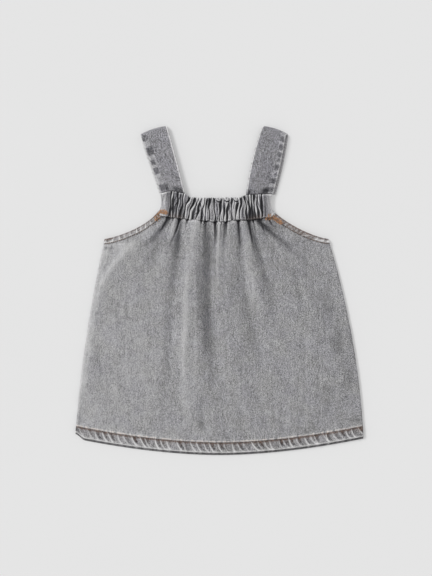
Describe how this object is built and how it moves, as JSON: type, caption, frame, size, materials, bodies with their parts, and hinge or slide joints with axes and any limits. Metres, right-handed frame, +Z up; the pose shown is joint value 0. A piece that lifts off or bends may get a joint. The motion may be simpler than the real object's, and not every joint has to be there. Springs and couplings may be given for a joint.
{
  "type": "pinafore dress",
  "caption": "Child's sleeveless A-line pinafore dress in washed grey denim, laid flat front up, with a gathered elastic neckband, wide shoulder straps, and turned hem and armholes.",
  "frame": {"origin": "on the surface it lies on, under the middle of the dress's length and width", "axes": "+Z up, out of the front; +Y from the hem towards the straps; +X towards the wearer's left, which is the right when seen from above"},
  "size_m": [0.331, 0.3764, 0.0103],
  "materials": {
    "panel_denim": "washed grey denim twill",
    "band_denim": "washed grey denim twill, gathered",
    "hem_denim": "washed grey denim twill with worn rope-like edges"
  },
  "bodies": {
    "root": {"back_panel": "panel_denim", "front_panel": "panel_denim", "hem_back": "hem_denim", "hem_front": "hem_denim", "armhole_back_left": "hem_denim", "armhole_front_left": "hem_denim", "armhole_back_right": "hem_denim", "armhole_front_right": "hem_denim", "neckband_back": "band_denim", "neckband_front": "band_denim", "strap_left": "band_denim", "strap_right": "band_denim"}
  },
  "joints": []
}
